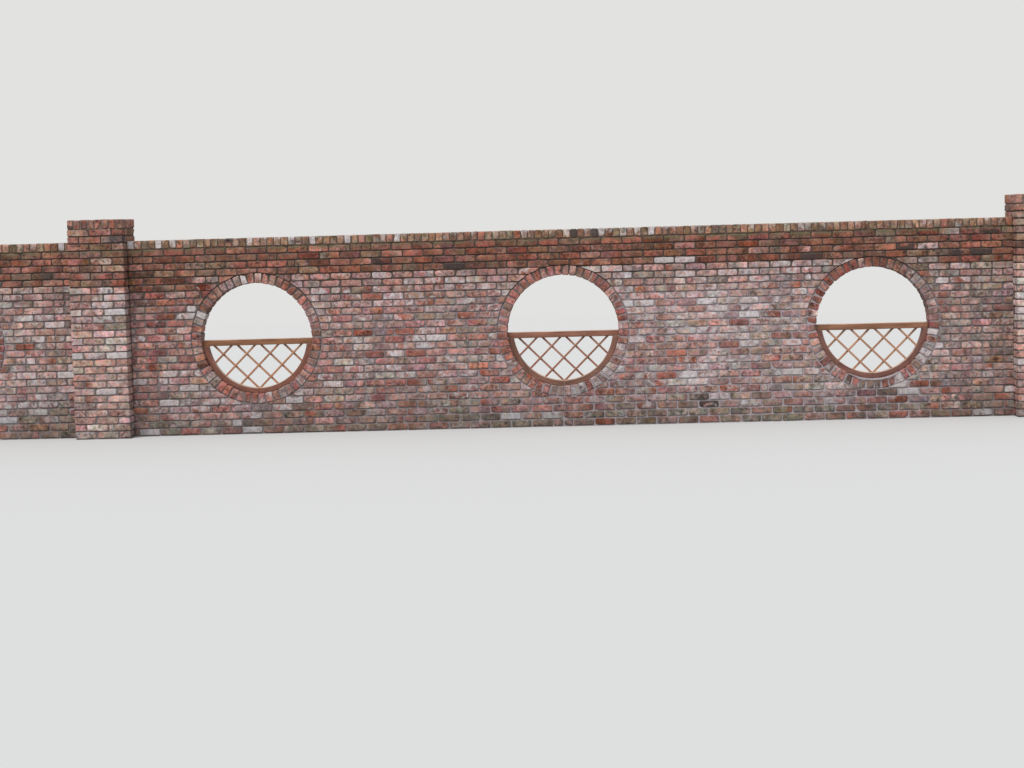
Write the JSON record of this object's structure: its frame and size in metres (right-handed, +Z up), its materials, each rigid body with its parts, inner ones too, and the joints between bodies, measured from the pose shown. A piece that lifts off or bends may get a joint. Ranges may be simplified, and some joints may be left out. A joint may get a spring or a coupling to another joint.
{
  "type": "brick garden wall with round openings",
  "caption": "Long brick garden wall between square piers, pierced by round brick-ringed openings whose lower halves hold a diagonal timber trellis.",
  "frame": {"origin": "ground level under the middle of the middle pier", "axes": "+X along the wall to the right as seen from the front, -Y towards the front, +Z up"},
  "size_m": [20.72, 0.6, 2.3555],
  "materials": {
    "brick": "rough",
    "edge_brick": "rough",
    "frame_timber": "weathered",
    "lath_timber": "weathered"
  },
  "bodies": {
    "root": {"pier_left": "brick", "cap_left": "edge_brick", "pier_middle": "brick", "cap_middle": "edge_brick", "pier_right": "brick", "cap_right": "edge_brick", "wall_left": "brick", "coping_left": "edge_brick", "ring_left_1": "edge_brick", "rail_left_1": "frame_timber", "bow_left_1": "frame_timber", "lattice_left_1": "lath_timber", "ring_left_2": "edge_brick", "rail_left_2": "frame_timber", "bow_left_2": "frame_timber", "lattice_left_2": "lath_timber", "ring_left_3": "edge_brick", "rail_left_3": "frame_timber", "bow_left_3": "frame_timber", "lattice_left_3": "lath_timber", "wall_right": "brick", "coping_right": "edge_brick", "ring_right_1": "edge_brick", "rail_right_1": "frame_timber", "bow_right_1": "frame_timber", "lattice_right_1": "lath_timber", "ring_right_2": "edge_brick", "rail_right_2": "frame_timber", "bow_right_2": "frame_timber", "lattice_right_2": "lath_timber", "ring_right_3": "edge_brick", "rail_right_3": "frame_timber", "bow_right_3": "frame_timber", "lattice_right_3": "lath_timber"}
  },
  "joints": []
}
